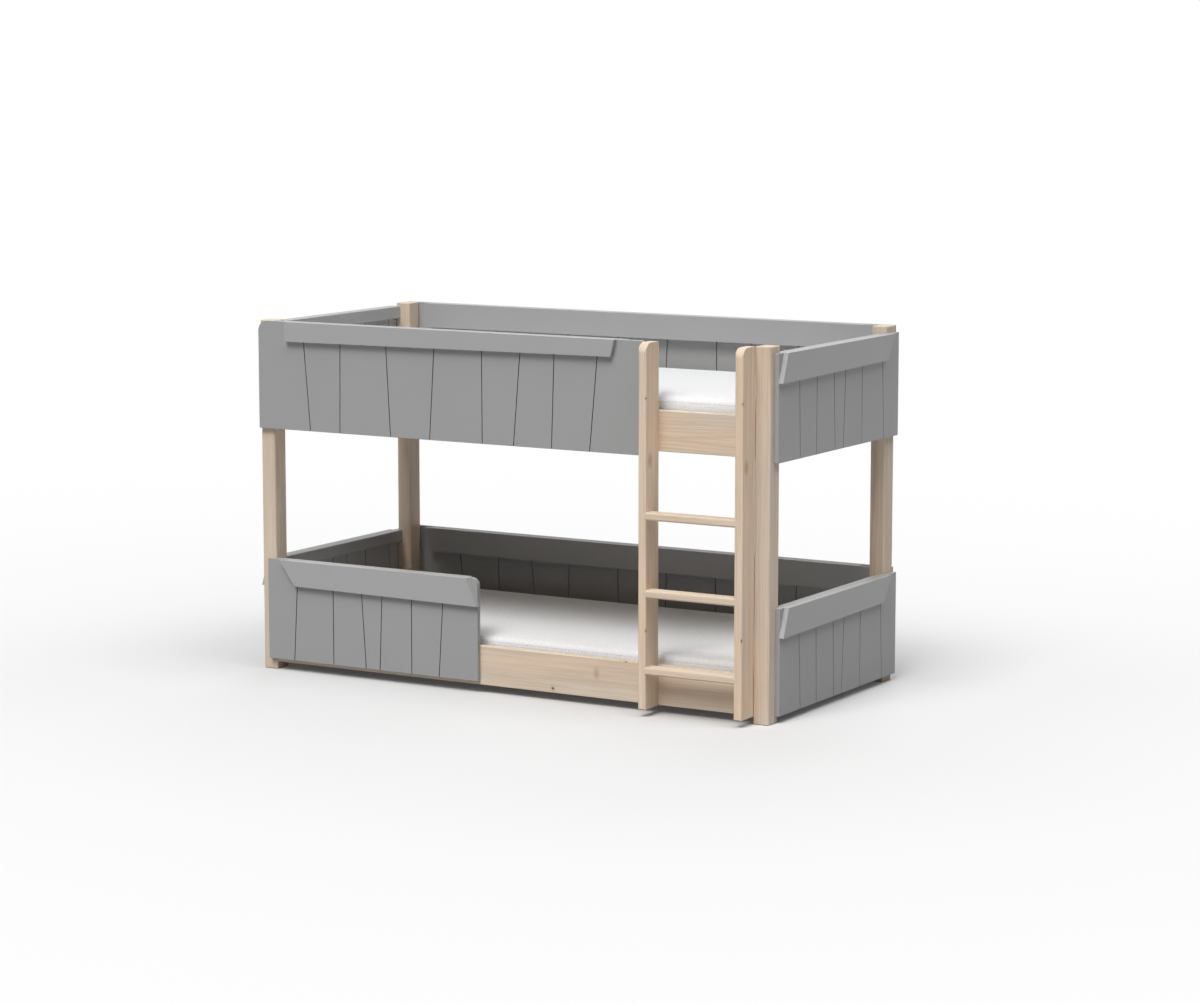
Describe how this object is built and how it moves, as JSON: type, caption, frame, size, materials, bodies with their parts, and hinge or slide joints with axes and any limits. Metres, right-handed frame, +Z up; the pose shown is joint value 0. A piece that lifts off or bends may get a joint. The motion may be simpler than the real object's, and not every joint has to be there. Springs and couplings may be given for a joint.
{
  "type": "bunk bed",
  "caption": "Low bunk bed in pale pine with light grey grooved panels and slanted trims, slatted decks, white mattresses and an upright ladder at the right of the front.",
  "frame": {"origin": "on the floor, in the middle of the overall length and depth", "axes": "+X along the bed towards the ladder, +Y from the ladder side to the back, +Z up"},
  "size_m": [2.202, 1.086, 1.308],
  "materials": {
    "pine": "clear satin lacquer on pale pine",
    "grey_paint": "satin light grey paint on board",
    "sheet": "white woven cover",
    "webbing": "undyed woven tape",
    "zinc": "bright zinc plate",
    "beech": "plain beech"
  },
  "bodies": {
    "frame": {"front_left_post": "pine", "front_right_post": "pine", "rear_left_post": "pine", "rear_right_post": "pine", "upper_front_rail": "pine", "upper_rear_rail": "pine", "lower_front_rail": "pine", "lower_rear_rail": "pine", "upper_left_end_rail": "pine", "upper_right_end_rail": "pine", "lower_left_end_rail": "pine", "lower_right_end_rail": "pine", "upper_front_cleat": "pine", "upper_rear_cleat": "pine", "lower_front_cleat": "pine", "lower_rear_cleat": "pine", "upper_slats": "pine", "lower_slats": "pine", "ladder_left_stile": "pine", "ladder_right_stile": "pine", "bottom_rung": "pine", "middle_rung": "pine", "top_rung": "pine", "upper_front_panel": "grey_paint", "upper_back_panel": "grey_paint", "upper_left_end_panel": "grey_paint", "upper_right_end_panel": "grey_paint", "lower_front_panel": "grey_paint", "lower_back_panel": "grey_paint", "lower_left_end_panel": "grey_paint", "lower_right_end_panel": "grey_paint", "upper_front_trim": "grey_paint", "upper_back_trim": "grey_paint", "upper_left_end_trim": "grey_paint", "upper_right_end_trim": "grey_paint", "lower_front_trim": "grey_paint", "lower_back_trim": "grey_paint", "lower_left_end_trim": "grey_paint", "lower_right_end_trim": "grey_paint", "upper_front_band": "grey_paint", "upper_back_band": "grey_paint", "upper_left_end_band": "grey_paint", "upper_right_end_band": "grey_paint", "lower_front_band": "grey_paint", "lower_back_band": "grey_paint", "lower_left_end_band": "grey_paint", "lower_right_end_band": "grey_paint", "upper_slat_tapes": "webbing", "lower_slat_tapes": "webbing", "rail_studs": "zinc", "half_moon_washers": "zinc", "rail_nuts": "zinc", "panel_screws": "zinc", "slat_base_screws": "zinc", "ladder_bolts": "zinc", "ladder_inserts": "zinc", "rung_dowels": "beech"},
    "upper_mattress": {"upper_mattress": "sheet"},
    "lower_mattress": {"lower_mattress": "sheet"}
  },
  "joints": [
    {"name": "upper_mattress_lift", "type": "slide", "parent": "frame", "child": "upper_mattress", "axis": [0, 0, 1], "range_m": [0, 0.36]},
    {"name": "lower_mattress_lift", "type": "slide", "parent": "frame", "child": "lower_mattress", "axis": [0, 0, 1], "range_m": [0, 0.36]}
  ]
}
